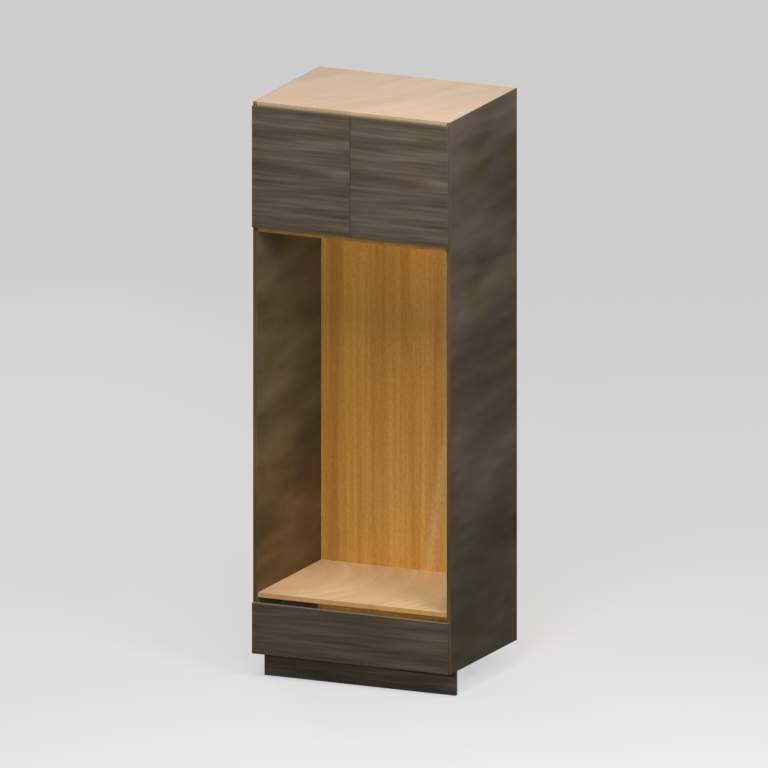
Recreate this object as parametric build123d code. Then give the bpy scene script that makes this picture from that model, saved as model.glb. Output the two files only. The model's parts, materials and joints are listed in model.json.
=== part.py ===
from build123d import *
import os
from math import hypot, sqrt

os.makedirs("parts", exist_ok=True)

# Open-front pantry cabinet: two doors over an open niche, and a wide drawer under it.
# Millimetres. +Z is up, the fronts face -Y, and +X is to the right seen from the front.
# The origin is on the floor, in the middle of the plan with the fronts included.
# Pieces that come in pairs are modelled on the left, at negative X, and mirrored.

# Carcass
carcass_width = 838.0
carcass_depth = 617.0
carcass_height = 2194.0
toe_height = 103.0
side_thickness = 16.0
shelf_thickness = 18.0
upper_height = 482.0            # clear height behind the doors; the niche takes what is left
shelf_setback = 12.0            # niche boards behind the front edges of the sides
board_edge_round = 0.8

# Back panel in its grooves
back_thickness = 8.0
back_inset = 10.0               # from the rear edges of the sides to the back panel
groove_depth = 8.0
groove_play = 0.4

# Doors and drawer front
front_thickness = 16.0
front_gap = 2.0                 # between the carcass and the back of the fronts
front_reveal = 3.0              # beside, between and below the fronts
top_strip = 13.5                # of the top panel that shows above the doors
drawer_front_height = 202.0
finger_gap = 17.0               # above the drawer front, where a hand pulls it
front_edge_round = 1.0

# Plinth and legs
plinth_thickness = 16.0
plinth_setback = 76.5
plinth_inset = 13.5             # from the outer face of a side to the end of the plinth
plinth_gap = 2.0                # between the plinth and the bottom board
leg_inset = 100.0               # from the outer face of a side to the centre of a front leg
leg_behind_plinth = 38.0
rear_leg_inset = 206.0
rear_leg_setback = 70.0
socket_flange_radius = 32.0
socket_flange_thickness = 4.0
socket_radius = 19.0
socket_bore_radius = 15.3
socket_bottom = 36.0
socket_rib_length = 9.0
socket_rib_thickness = 2.5
socket_rib_count = 4
foot_radius = 28.0
foot_thickness = 5.0
foot_shoulder = 11.0            # height where the foot's cone meets its stem
foot_stem_radius = 15.0
foot_ring_radius = 22.0
foot_ring_height = 8.0
foot_notch_radius = 2.2         # of the finger notches round the adjusting ring
foot_notch_count = 12
foot_stem_in_socket = 48.0
clip_height = 16.0
clip_level = 62.0
clip_wall = 3.0
clip_play = 0.1
clip_pad = 34.0
clip_mouth_share = 0.8          # of the clip's bore

# Connectors that hold the boards between the sides
connector_setback = 60.0        # first and last connector, from the front and the back
dowel_offset = 64.0             # dowels, from the connectors towards the middle
connector_play = 0.15
cam_distance = 34.0             # from a board's end to the centre of a cam
cam_radius = 7.5
cam_height = 13.0
cam_slot_width = 1.6
cam_slot_depth = 3.0
cam_bolt_radius = 3.4
cam_bolt_bite = 3.0             # past the cam's rim
cam_bolt_neck_radius = 2.2
cam_bolt_neck_length = 4.5
cam_bolt_head_length = 2.2
cam_thread_radius = 2.5
cam_thread_length = 11.0
dowel_radius = 4.0
dowel_chamfer = 1.0
dowel_in_side = 10.0
dowel_in_board = 20.0
dowel_end_play = 1.0

# Screws
screw_head_radius = 3.8
screw_head_height = 1.8
screw_head_edge = 0.7
screw_radius = 1.9
screw_length = 12.0
screw_play = 0.1

# Wall brackets under the top board
bracket_inset = 120.0           # from the inner face of a side
bracket_width = 34.0
bracket_depth = 42.0
bracket_drop = 60.0
bracket_sheet = 2.0
bracket_bend = 2.5
bracket_screw_spacing = 18.0
wall_hole_radius = 3.5
wall_hole_drop = 40.0           # below the underside of the top board

# Concealed hinges, measured from the pivot
hinge_inset = 96.0              # from a door's top and bottom edges to the hinge
pivot_depth = 10.0              # from the door's back face to the pivot
pivot_inset_share = 0.93        # of the inset at which the door's corner would just touch the side
hinge_play = 0.3
pin_radius = 1.5
pin_play = 0.06
pin_fit = 0.02
eye_radius = 3.0
arm_sheet = 2.4
arm_width = 13.0
arm_bend = 3.2
arm_length = 68.0               # of the arm inside the carcass
arm_flange_start = 12.0
cup_tab = 5.0                   # of wood between the door's edge and the cup
cup_radius = 17.5
cup_wall = 0.8
cup_play = 0.1
cup_rim = 1.6
ear_thickness = 2.0
flange_thickness = 1.2
flange_width = 19.0
flange_length = 60.0
flange_corner = 5.0
flange_shift = 5.5              # of the flange's middle from the cup's centre
cup_screw_shift = 7.5
cup_screw_spacing = 46.0
plate_setback = 37.0            # of the plate's screws behind the front edge of the side
plate_screw_spacing = 32.0
plate_slot = 2.6                # of height that the plate's screws leave for adjustment
plate_wing_width = 18.0
plate_wing_length = 48.0
plate_wing_corner = 7.0
plate_wing_share = 0.45         # of the plate's thickness
plate_length = 58.0
arm_screw_setback = 54.0

# Drawer box
drawer_ground = 12.0            # from the bottom board to the drawer's sides
drawer_past_runner = 6.0        # of the drawer's sides behind the runners
drawer_side_height = 140.0
drawer_side_width = 13.0
drawer_side_sheet = 1.0
drawer_side_bend = 1.6
drawer_side_ledge = 12.0
drawer_board = 16.0
drawer_back_drop = 6.0          # of the back board below the top of the sides
corner_sheet = 2.0
corner_leg = 26.0
corner_bend = 2.5
corner_drop = 12.0              # of the corner brackets below the top of the sides
corner_screw_inset = 22.0
rear_cap_sheet = 1.5
rear_cap_wing = 30.0

# Telescopic runners
runner_width = 12.7
runner_length = 520.0
runner_overlap = 40.0           # of the drawer's members in the rails when the drawer is fully out
runner_setback = 2.0
runner_rise = 46.0              # from the drawer side's lower edge to the middle of the runner
runner_half_height = 22.75
runner_sheet = 1.2
runner_bend = 1.3
runner_lip = 3.2
runner_mouth = 3.1              # between a lip and the next member's web
ball_radius = 1.7
ball_play = 0.05
ball_count = 4
cage_sheet = 0.5
cage_play = 0.25
cage_margin = 10.0
cage_end_margin = 12.0
rail_screw_radius = 3.2
rail_screw_count = 3
rail_screw_inset = 35.0

# Rubber buffers behind the fronts
buffer_radius = 3.4
buffer_play = 0.3
buffer_inset = 14.0             # on the drawer front, from its upper and lower edges
buffer_edge = 0.8               # of the door between its top edge and the buffer

# One overrun serves every cut
overrun = 1.0

# Planes of the carcass and the fronts
total_depth = carcass_depth + front_gap + front_thickness
x_out = carcass_width / 2
x_in = x_out - side_thickness
y_front = front_gap + front_thickness - total_depth / 2
y_rear = y_front + carcass_depth
y_back = y_rear - back_inset - back_thickness
y_front_backs = y_front - front_gap
z_base = toe_height
z_top = z_base + carcass_height
bottom_top = z_base + shelf_thickness
top_bottom = z_top - shelf_thickness
drawer_front_bottom = z_base + front_reveal
drawer_front_top = drawer_front_bottom + drawer_front_height
niche_floor_bottom = drawer_front_top + finger_gap
deck_bottom = top_bottom - upper_height - shelf_thickness
door_bottom = deck_bottom + shelf_thickness + front_reveal
door_top = z_top - top_strip
front_outer = x_out - front_reveal
board_levels = [z_base, niche_floor_bottom, deck_bottom, top_bottom]

# Pivot of the left door: as far in as the door's back corner lets it be
pivot_inset = pivot_inset_share * sqrt(front_gap * (front_gap + 2 * pivot_depth))
pivot_x = pivot_inset - front_outer
pivot_y = y_front_backs - pivot_depth
run_near = hypot(pivot_inset, pivot_depth) + hinge_play
cup_x = cup_tab + cup_radius - pivot_inset
cup_floor = arm_sheet / 2 + hinge_play + cup_wall
ear_inside = arm_width / 2 + hinge_play
ear_outside = ear_inside + ear_thickness
nose = eye_radius + hinge_play
plate_top = pivot_x + run_near
plate_thickness = plate_top + x_in
arm_flange = plate_thickness * (1 - plate_wing_share) - hinge_play
arm_screw_length = plate_thickness + arm_sheet - hinge_play
hinge_levels = [door_bottom + hinge_inset, door_top - hinge_inset]

# Drawer box and runner planes; slide offsets run from the side's inner face to the drawer
drawer_floor = bottom_top + drawer_ground
drawer_side_top = drawer_floor + drawer_side_height
drawer_side_inner = x_in - runner_width - drawer_side_width
runner_level = drawer_floor + runner_rise
runner_start = y_front + runner_setback
drawer_end = runner_start + runner_length + drawer_past_runner
drawer_travel = runner_length - runner_overlap
cage_gap = cage_sheet + 2 * cage_play
ball_gap = 2 * (ball_radius + ball_play)
middle_web = runner_sheet + cage_gap
middle_half_height = runner_half_height - runner_sheet - ball_gap
slide_half_height = middle_half_height - runner_sheet - ball_gap
rail_mouth = runner_width - runner_mouth
middle_mouth = runner_width - runner_sheet - cage_play * 2
cage_start = runner_start + drawer_travel / 4 + cage_margin
cage_length = runner_length - drawer_travel / 2 - 2 * cage_margin


def block(x0, x1, y0, y1, z0, z1):
    """A box between two corners."""
    box = Box(x1 - x0, y1 - y0, z1 - z0)
    return Pos((x0 + x1) / 2, (y0 + y1) / 2, (z0 + z1) / 2) * box


def rod_x(radius, x0, x1, y, z):
    """A round bar along X."""
    return Pos((x0 + x1) / 2, y, z) * Rot(0, 90, 0) * Cylinder(radius, x1 - x0)


def rod_y(radius, x, y0, y1, z):
    """A round bar along Y."""
    return Pos(x, (y0 + y1) / 2, z) * Rot(90, 0, 0) * Cylinder(radius, y1 - y0)


def rod_z(radius, x, y, z0, z1):
    """A round bar along Z."""
    return Pos(x, y, (z0 + z1) / 2) * Cylinder(radius, z1 - z0)


def mirrored(shape):
    """The same piece on the other side of the cabinet."""
    return mirror(shape, Plane.YZ)


def group(solids):
    """Separate solids that share a node."""
    return Compound(children=solids)


def on_both_sides(solids):
    """The solids of the left side and their mirror images."""
    return solids + [mirrored(solid) for solid in solids]


def folded(points, sheet, bend, side):
    """The section of a bent sheet, from the line of its outer face."""
    line = FilletPolyline(*points, radius=bend)
    return make_face(offset(line, amount=sheet, side=side, kind=Kind.INTERSECTION))


def along_y(section, length, x, y_end, z):
    """A section drawn in X and Z, run forward from its rear end."""
    return Pos(x, y_end, z) * extrude(Plane.XZ * section, amount=length)


def screw(length=screw_length):
    """A pan-head screw: its head sits on Z = 0 and its shank points down."""
    head = rod_z(screw_head_radius, 0, 0, 0, screw_head_height)
    head = chamfer(head.edges().sort_by(Axis.Z)[-1], screw_head_edge)
    return head + rod_z(screw_radius, 0, 0, -length, 0)


def screw_bore(depth):
    """The hole for a screw, from above its head's seat to its tip."""
    return rod_z(screw_radius + screw_play, 0, 0, -screw_length - screw_play, depth)


def connector_rows():
    """Y of the cams, then Y of the dowels."""
    first = y_front + connector_setback
    last = y_back - connector_setback
    return [first, last], [first + dowel_offset, last - dowel_offset]


def connector_bores_in_side():
    """Blind holes in the left side for the bolts and dowels of the four boards."""
    cam_rows, dowel_rows = connector_rows()
    holes = []
    for level in board_levels:
        z = level + shelf_thickness / 2
        for y in cam_rows:
            start = -x_in - cam_thread_length - connector_play
            holes.append(rod_x(cam_thread_radius + connector_play, start, overrun - x_in, y, z))
        for y in dowel_rows:
            start = -x_in - dowel_in_side - dowel_end_play
            holes.append(rod_x(dowel_radius + connector_play, start, overrun - x_in, y, z))
    return holes


def connector_bores_in_board(level):
    """Cam, bolt and dowel holes at the left end of a board."""
    cam_rows, dowel_rows = connector_rows()
    z = level + shelf_thickness / 2
    cam_x = cam_distance - x_in
    holes = []
    for y in cam_rows:
        holes.append(rod_z(cam_radius, cam_x, y, level - overrun, level + cam_height + connector_play))
        holes.append(rod_x(cam_bolt_radius + connector_play, -x_in - overrun, cam_x, y, z))
    for y in dowel_rows:
        end = dowel_in_board + dowel_end_play - x_in
        holes.append(rod_x(dowel_radius + connector_play, -x_in - overrun, end, y, z))
    return holes


def side_board():
    """A side with the groove for the back and the holes for what is fixed to it."""
    board = block(-x_out, -x_in, y_front, y_rear, z_base, z_top)
    board = fillet(board.faces().sort_by(Axis.Y)[0].edges().filter_by(Axis.Z), board_edge_round)
    groove_start = y_back
    groove_end = y_back + back_thickness + groove_play
    z0 = bottom_top - groove_depth - groove_play
    z1 = top_bottom + groove_depth + groove_play
    board -= block(-x_in - groove_depth - groove_play, overrun - x_in, groove_start, groove_end, z0, z1)
    board -= connector_bores_in_side()
    board -= [place * screw_bore(overrun) for place in plate_screw_places(-x_in)]
    board -= [place * screw_bore(overrun) for place in rail_screw_places()]
    return board


def board_between_sides(level, y0, y1):
    """A horizontal board with its connector holes."""
    board = block(-x_in, x_in, y0, y1, level, level + shelf_thickness)
    return board - on_both_sides(connector_bores_in_board(level))


def back_groove(z0, z1):
    """The cut that takes the back panel's upper or lower edge."""
    y1 = y_back + back_thickness + groove_play
    return block(-x_in - overrun, x_in + overrun, y_back, y1, z0, z1)


def top_panel():
    """The top board, grooved below for the back, with holes for the wall brackets."""
    board = board_between_sides(top_bottom, y_front, y_rear)
    board -= back_groove(top_bottom - overrun, top_bottom + groove_depth + groove_play)
    board -= on_both_sides([place * screw_bore(overrun) for place in bracket_screw_places(top_bottom)])
    return board


def bottom_panel():
    """The lowest board, grooved above for the back, with holes for the legs' screws."""
    board = board_between_sides(z_base, y_front, y_rear)
    board -= back_groove(bottom_top - groove_depth - groove_play, bottom_top + overrun)
    board -= [place * screw_bore(overrun) for place in leg_screw_places(z_base)]
    return board


def niche_board(level):
    """One of the two boards that close the niche, set back from the front."""
    return board_between_sides(level, y_front + shelf_setback, y_back)


def back_panel():
    """The back, held in the grooves of the sides, the top and the bottom."""
    half = x_in + groove_depth
    z0 = bottom_top - groove_depth
    z1 = top_bottom + groove_depth
    panel = block(-half, half, y_back, y_back + back_thickness, z0, z1)
    y1 = y_back + back_thickness + overrun
    z = top_bottom - wall_hole_drop
    return panel - [rod_y(wall_hole_radius, x, y_back - overrun, y1, z) for x in wall_hole_xs()]


def cam_housings():
    """Round cams in the undersides of the boards."""
    cams = []
    cam_x = cam_distance - x_in
    radius = cam_radius - connector_play
    for level in board_levels:
        for y in connector_rows()[0]:
            cam = rod_z(radius, cam_x, y, level, level + cam_height)
            z = level + shelf_thickness / 2
            cam -= rod_x(cam_bolt_radius + connector_play, cam_x - cam_radius - overrun, cam_x, y, z)
            cam -= block(cam_x - radius / 2, cam_x + radius / 2, y - cam_slot_width / 2,
                         y + cam_slot_width / 2, level - overrun, level + cam_slot_depth)
            cams.append(cam)
    return group(on_both_sides(cams))


def cam_bolts():
    """Bolts screwed into the sides, whose ends lie in the cams."""
    bolts = []
    head_end = cam_distance - cam_radius + cam_bolt_bite - x_in
    head_start = head_end - cam_bolt_head_length
    shank_end = head_start - cam_bolt_neck_length
    for level in board_levels:
        z = level + shelf_thickness / 2
        for y in connector_rows()[0]:
            bolt = rod_x(cam_thread_radius, -x_in - cam_thread_length, -x_in, y, z)
            bolt += rod_x(cam_bolt_radius, -x_in, shank_end, y, z)
            bolt += rod_x(cam_bolt_neck_radius, shank_end, head_start, y, z)
            bolts.append(bolt + rod_x(cam_bolt_radius, head_start, head_end, y, z))
    return group(on_both_sides(bolts))


def dowels():
    """Wooden dowels between the sides and the ends of the boards."""
    pegs = []
    for level in board_levels:
        z = level + shelf_thickness / 2
        for y in connector_rows()[1]:
            peg = rod_x(dowel_radius, -x_in - dowel_in_side, dowel_in_board - x_in, y, z)
            pegs.append(chamfer(peg.edges().filter_by(GeomType.CIRCLE), dowel_chamfer))
    return group(on_both_sides(pegs))


def leg_places():
    """X and Y of the four legs."""
    x = x_out - leg_inset
    rear_x = x_out - rear_leg_inset
    front = y_front + plinth_setback + plinth_thickness + leg_behind_plinth
    rear = y_rear - rear_leg_setback
    return [(-x, front), (x, front), (-rear_x, rear), (rear_x, rear)]


def leg_socket():
    """A socket with its flange under the bottom board, stiffened by ribs."""
    flange_bottom = z_base - socket_flange_thickness
    bore_top = socket_bottom + foot_stem_in_socket + socket_flange_thickness
    outline = [
        (socket_bore_radius, socket_bottom), (socket_radius, socket_bottom),
        (socket_radius, flange_bottom), (socket_flange_radius, flange_bottom),
        (socket_flange_radius, z_base), (0, z_base), (0, bore_top), (socket_bore_radius, bore_top),
    ]
    socket = revolve(Plane.XZ * make_face(Polyline(*outline, close=True)), Axis.Z)
    rib_outline = [
        (socket_radius - socket_rib_thickness / 2, flange_bottom),
        (socket_radius + socket_rib_length, flange_bottom),
        (socket_radius - socket_rib_thickness / 2, flange_bottom - 2 * socket_rib_length),
    ]
    rib_face = Plane.XZ * make_face(Polyline(*rib_outline, close=True))
    rib = extrude(rib_face, socket_rib_thickness / 2, both=True)
    ribs = [Rot(0, 0, (turn + 0.5) * 360 / socket_rib_count) * rib for turn in range(socket_rib_count)]
    return socket + ribs


def leg_foot():
    """A foot that screws up and down in its socket, with its notched adjusting ring."""
    ring_bottom = socket_bottom - foot_ring_height
    stem_top = socket_bottom + foot_stem_in_socket
    outline = [
        (0, 0), (foot_radius, 0), (foot_radius, foot_thickness), (foot_stem_radius, foot_shoulder),
        (foot_stem_radius, ring_bottom), (foot_ring_radius, ring_bottom),
        (foot_ring_radius, socket_bottom), (foot_stem_radius, socket_bottom),
        (foot_stem_radius, stem_top), (0, stem_top),
    ]
    foot = revolve(Plane.XZ * make_face(Polyline(*outline, close=True)), Axis.Z)
    notch = rod_z(foot_notch_radius, foot_ring_radius, 0, ring_bottom - overrun, socket_bottom + overrun)
    return foot - [Rot(0, 0, turn * 360 / foot_notch_count) * notch for turn in range(foot_notch_count)]


def leg_screw_places(z):
    """Two upward screws through the flange of each socket."""
    reach = (socket_radius + socket_flange_radius) / 2
    return [Pos(x + sign * reach, y, z) * Rot(180, 0, 0) for x, y in leg_places() for sign in (-1, 1)]


def leg_sockets():
    """Four sockets under the bottom board."""
    holes = [place * screw_bore(overrun) for place in leg_screw_places(z_base - socket_flange_thickness)]
    solids = []
    for number, (x, y) in enumerate(leg_places()):
        solids.append(Pos(x, y, 0) * leg_socket() - holes[2 * number: 2 * number + 2])
    return group(solids)


def leg_feet():
    """Four adjustable feet."""
    return group([Pos(x, y, 0) * leg_foot() for x, y in leg_places()])


def leg_screws():
    """Two screws for each socket."""
    return group([place * screw() for place in leg_screw_places(z_base - socket_flange_thickness)])


def plinth_board():
    """The recessed board that closes the toe space."""
    half = x_out - plinth_inset
    y0 = y_front + plinth_setback
    board = block(-half, half, y0, y0 + plinth_thickness, 0, z_base - plinth_gap)
    return fillet(board.faces().sort_by(Axis.Y)[0].edges().filter_by(Axis.X), board_edge_round)


def plinth_clip(x, y):
    """A spring clip on a front leg, with a pad on the back of the plinth."""
    inner = socket_radius + clip_play
    outer = inner + clip_wall
    z0 = clip_level
    z1 = clip_level + clip_height
    y_pad = y_front + plinth_setback + plinth_thickness
    clip = rod_z(outer, x, y, z0, z1)
    clip += block(x - clip_wall * 2, x + clip_wall * 2, y_pad, y, z0, z1)
    clip += block(x - clip_pad / 2, x + clip_pad / 2, y_pad, y_pad + clip_wall, z0 - clip_height / 2, z1)
    clip -= rod_z(inner, x, y, z0 - overrun, z1 + overrun)
    mouth = inner * clip_mouth_share
    return clip - block(x - mouth, x + mouth, y, y + outer + overrun, z0 - overrun, z1 + overrun)


def plinth_clips():
    """One clip on each front leg."""
    return group([plinth_clip(x, y) for x, y in leg_places()[:2]])


def wall_hole_xs():
    """X of the two screws to the wall."""
    x = x_in - bracket_inset
    return [-x, x]


def bracket_screw_places(z):
    """Two upward screws through the left bracket into the top board."""
    y = y_back - bracket_depth / 2 - bracket_sheet
    x = bracket_inset - x_in
    half = bracket_screw_spacing / 2
    return [Pos(x + shift, y, z) * Rot(180, 0, 0) for shift in (-half, half)]


def wall_brackets():
    """Angles between the top board and the back, for the screws to the wall."""
    x = bracket_inset - x_in
    corner = (y_back, top_bottom)
    points = [(y_back - bracket_depth, top_bottom), corner, (y_back, top_bottom - bracket_drop)]
    section = folded(points, bracket_sheet, bracket_bend, Side.RIGHT)
    angle = Pos(x, 0, 0) * extrude(Plane.YZ * section, bracket_width / 2, both=True)
    z = top_bottom - wall_hole_drop
    angle -= rod_y(wall_hole_radius, x, y_back - bracket_sheet - overrun, y_back + overrun, z)
    angle -= [place * screw_bore(overrun) for place in bracket_screw_places(top_bottom - bracket_sheet)]
    return group(on_both_sides([angle]))


def bracket_screws():
    """The screws of the wall brackets."""
    places = bracket_screw_places(top_bottom - bracket_sheet)
    return group(on_both_sides([place * screw() for place in places]))


def plate_screw_places(x):
    """Screws into the side through the hinge plates, with their heads on the plane X = x."""
    y = y_front + plate_setback
    half = plate_screw_spacing / 2
    return [Pos(x, y, z + dz) * Rot(0, 90, 0) for z in hinge_levels for dz in (-half, half)]


def hinge_plate(z):
    """A plate screwed to the side: two wings, and a spine on which the arm rides."""
    wing = extrude(Plane.YZ * RectangleRounded(plate_wing_width, plate_wing_length, plate_wing_corner),
                   plate_thickness * plate_wing_share)
    plate = Pos(-x_in, y_front + plate_setback, z) * wing
    half = arm_width / 2 - arm_sheet / 2 - hinge_play
    y0 = y_front + arm_flange_start
    return plate + block(-x_in, plate_top, y0, y0 + plate_length, z - half, z + half)


def plate_slot_bore():
    """The slot for a plate's screw, long in the height."""
    half = plate_slot / 2
    radius = screw_radius + screw_play
    slot = block(-half, half, -radius, radius, -screw_length, overrun)
    return slot + [Pos(shift, 0, 0) * screw_bore(overrun) for shift in (-half, half)]


def hinge_plates():
    """The plates of the left door's hinges."""
    wing_face = plate_thickness * plate_wing_share - x_in
    holes = [place * plate_slot_bore() for place in plate_screw_places(wing_face)]
    holes += [place * screw_bore(overrun) for place in arm_screw_places()]
    return group([hinge_plate(z) - holes for z in hinge_levels])


def arm_screw_places():
    """The screw that clamps each arm to its plate."""
    y = y_front + arm_screw_setback
    return [Pos(plate_top + arm_sheet, y, z) * Rot(0, 90, 0) for z in hinge_levels]


def hinge_arm(z):
    """The fixed arm: an eye at the pivot, a crank round the side's edge and a channel on the plate."""
    far = run_near + arm_sheet
    reach = arm_length - pivot_y + y_front
    points = [(0, -arm_sheet / 2), (far, -arm_sheet / 2), (far, reach)]
    arm = extrude(folded(points, arm_sheet, arm_bend, Side.LEFT), arm_width / 2, both=True)
    arm += Cylinder(eye_radius, arm_width)
    flange_start = arm_flange_start + y_front - pivot_y
    for edge in (-arm_width / 2, arm_width / 2 - arm_sheet / 2):
        arm += block(run_near - arm_flange, run_near, flange_start, reach, edge, edge + arm_sheet / 2)
    arm -= Cylinder(pin_radius + pin_play, arm_width + overrun)
    return Pos(pivot_x, pivot_y, z) * arm


def hinge_arms():
    """The arms of the left door's hinges."""
    holes = [place * screw_bore(overrun) for place in arm_screw_places()]
    return group([hinge_arm(z) - holes for z in hinge_levels])


def hinge_screws():
    """Two screws through each plate and one through each arm."""
    wing_face = plate_thickness * plate_wing_share - x_in
    screws = [place * screw() for place in plate_screw_places(wing_face)]
    return group(screws + [place * screw(arm_screw_length) for place in arm_screw_places()])


def hinge_pins():
    """The pins on which the left door turns."""
    pin = Pos(pivot_x, pivot_y, 0) * Cylinder(pin_radius, 2 * ear_outside)
    return group([Pos(0, 0, z) * pin for z in hinge_levels])


def cup_space(play, wall):
    """The room that a cup fills: a round bowl and a nose around the pivot, about the pivot."""
    bowl = rod_y(cup_radius - play - wall, cup_x, play + wall - cup_floor - cup_play, pivot_depth, 0)
    height = ear_outside + cup_play - play
    nose_box = block(play - nose - cup_play, cup_x, play - nose - cup_play, pivot_depth, -height, height)
    past_eye = block(nose + cup_play, cup_x, -nose - overrun, play - cup_floor - cup_play, -height, height)
    return bowl + (nose_box - past_eye)


def hinge_cup(z):
    """The moving half: a bowl let into the door, ears that hold the pin, and a screwed flange."""
    cup = cup_space(cup_play, 0)
    seat = Plane.XZ.offset(-pivot_depth)
    rim = seat * (Pos(cup_x, 0) * Circle(cup_radius + cup_rim))
    wings = RectangleRounded(flange_width, flange_length, flange_corner)
    wings = seat * (Pos(cup_x + flange_shift, 0) * wings)
    cup += extrude(rim + wings, -flange_thickness)
    top = pivot_depth + flange_thickness + overrun
    bowl_floor = cup_wall - cup_floor
    cup -= rod_y(cup_radius - cup_play - cup_wall, cup_x, bowl_floor, top, 0)
    cup -= block(-cup_radius, nose, -nose - overrun, top, -ear_inside, ear_inside)
    cup -= block(0, cup_x, bowl_floor, top, -ear_inside, ear_inside)
    cup -= Cylinder(pin_radius + pin_fit, 2 * ear_outside + overrun)
    for dz in (-cup_screw_spacing / 2, cup_screw_spacing / 2):
        cup -= rod_y(screw_radius + screw_play, cup_x + cup_screw_shift, 0, top, dz)
    return Pos(pivot_x, pivot_y, z) * cup


def hinge_cups():
    """The cups of the left door's hinges."""
    return group([hinge_cup(z) for z in hinge_levels])


def cup_screw_places(y):
    """Screws through the cups' flanges, driven forward into the left door."""
    x = pivot_x + cup_x + cup_screw_shift
    half = cup_screw_spacing / 2
    return [Pos(x, y, z + dz) * Rot(-90, 0, 0) for z in hinge_levels for dz in (-half, half)]


def cup_screws():
    """The screws of the left door's cups."""
    return group([place * screw() for place in cup_screw_places(y_front_backs + flange_thickness)])


def front_board(x0, x1, z0, z1):
    """A door or drawer front with softened outer edges."""
    board = block(x0, x1, y_front_backs - front_thickness, y_front_backs, z0, z1)
    return fillet(board.faces().sort_by(Axis.Y)[0].edges(), front_edge_round)


def door():
    """The left door, bored for its hinge cups."""
    board = front_board(-front_outer, -front_reveal / 2, door_bottom, door_top)
    for z in hinge_levels:
        board -= Pos(pivot_x, pivot_y, z) * cup_space(0, 0)
    return board - [place * screw_bore(overrun) for place in cup_screw_places(y_front_backs)]


def buffer(x, z):
    """A rubber buffer on the back of a front."""
    return rod_y(buffer_radius, x, y_front_backs, y_front - buffer_play, z)


def door_buffer():
    """The left door's buffer, at its free upper corner, where it meets the top board."""
    x = -front_reveal / 2 - buffer_inset
    return buffer(x, door_top - buffer_edge - buffer_radius)


def drawer_front():
    """The handleless front, with holes for the corner brackets' screws."""
    board = front_board(-front_outer, front_outer, drawer_front_bottom, drawer_front_top)
    places = front_screw_places(y_front_backs)
    return board - on_both_sides([place * screw_bore(overrun) for place in places])


def drawer_side():
    """A folded steel side, hollow, with a ledge under the drawer's bottom."""
    width = drawer_side_width
    points = [
        (0, 0), (0, drawer_side_height), (width, drawer_side_height), (width, 0),
        (width + drawer_side_ledge, 0),
    ]
    section = folded(points, drawer_side_sheet, drawer_side_bend, Side.RIGHT)
    side = along_y(section, drawer_end - y_front_backs, runner_width - x_in, drawer_end, drawer_floor)
    return side - [place * screw_bore(overrun) for place in side_screw_places()]


def drawer_bottom():
    """The drawer's floor, on the ledges of its sides."""
    x = drawer_side_inner
    board = block(-x, x, y_front_backs, drawer_end, drawer_floor, drawer_floor + drawer_board)
    return fillet(board.faces().sort_by(Axis.Z)[0].edges().filter_by(Axis.Y), drawer_side_bend)


def drawer_back():
    """The board that closes the drawer behind."""
    x = drawer_side_inner
    z0 = drawer_floor + drawer_board
    board = block(-x, x, drawer_end - drawer_board, drawer_end, z0, drawer_side_top - drawer_back_drop)
    places = cap_screw_places(drawer_end)
    return board - on_both_sides([place * screw_bore(overrun) for place in places])


def corner_levels():
    """Lower and upper ends of the front corner brackets."""
    return drawer_floor + drawer_board + corner_drop, drawer_side_top - corner_drop


def front_screw_places(y):
    """Screws through the left corner bracket, driven forward into the drawer front."""
    low, high = corner_levels()
    x = corner_leg / 2 + corner_sheet - drawer_side_inner
    return [Pos(x, y, z) * Rot(-90, 0, 0) for z in (low + corner_screw_inset, high - corner_screw_inset)]


def side_screw_places():
    """Screws through the left corner bracket, driven sideways into the steel side."""
    low, high = corner_levels()
    x = corner_sheet - drawer_side_inner
    y = y_front_backs + corner_leg / 2 + corner_sheet
    return [Pos(x, y, z) * Rot(0, 90, 0) for z in (low + corner_screw_inset, high - corner_screw_inset)]


def front_brackets():
    """Angles that hold the drawer front to the steel sides."""
    x = -drawer_side_inner
    low, high = corner_levels()
    points = [(x + corner_leg, y_front_backs), (x, y_front_backs), (x, y_front_backs + corner_leg)]
    section = folded(points, corner_sheet, corner_bend, Side.RIGHT)
    angle = Pos(0, 0, low) * extrude(section, high - low)
    angle -= [place * screw_bore(overrun) for place in front_screw_places(y_front_backs + corner_sheet)]
    angle -= [place * screw_bore(overrun) for place in side_screw_places()]
    return group(on_both_sides([angle]))


def cap_screw_places(y):
    """Screws through the left rear cap, driven forward into the drawer's back."""
    x = rear_cap_wing / 2 - drawer_side_inner
    low, high = corner_levels()
    return [Pos(x, y, z) * Rot(-90, 0, 0) for z in (low + corner_screw_inset, high - corner_screw_inset)]


def rear_brackets():
    """Plates that close the rear ends of the steel sides and hold the drawer's back."""
    x = -drawer_side_inner
    y1 = drawer_end + rear_cap_sheet
    z1 = drawer_side_top - drawer_back_drop
    cap = block(x - drawer_side_width, x + rear_cap_wing, drawer_end, y1, drawer_floor, z1)
    cap -= [place * screw_bore(overrun) for place in cap_screw_places(y1)]
    return group(on_both_sides([cap]))


def drawer_screws():
    """The screws of the corner brackets and the rear caps."""
    places = front_screw_places(y_front_backs + corner_sheet) + side_screw_places()
    places += cap_screw_places(drawer_end + rear_cap_sheet)
    return group(on_both_sides([place * screw() for place in places]))


def drawer_buffers():
    """Buffers at the corners of the drawer front, where it meets the sides."""
    x = side_thickness / 2 - x_out
    levels = (drawer_front_bottom + buffer_inset, drawer_front_top - buffer_inset)
    return group(on_both_sides([buffer(x, z) for z in levels]))


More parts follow.
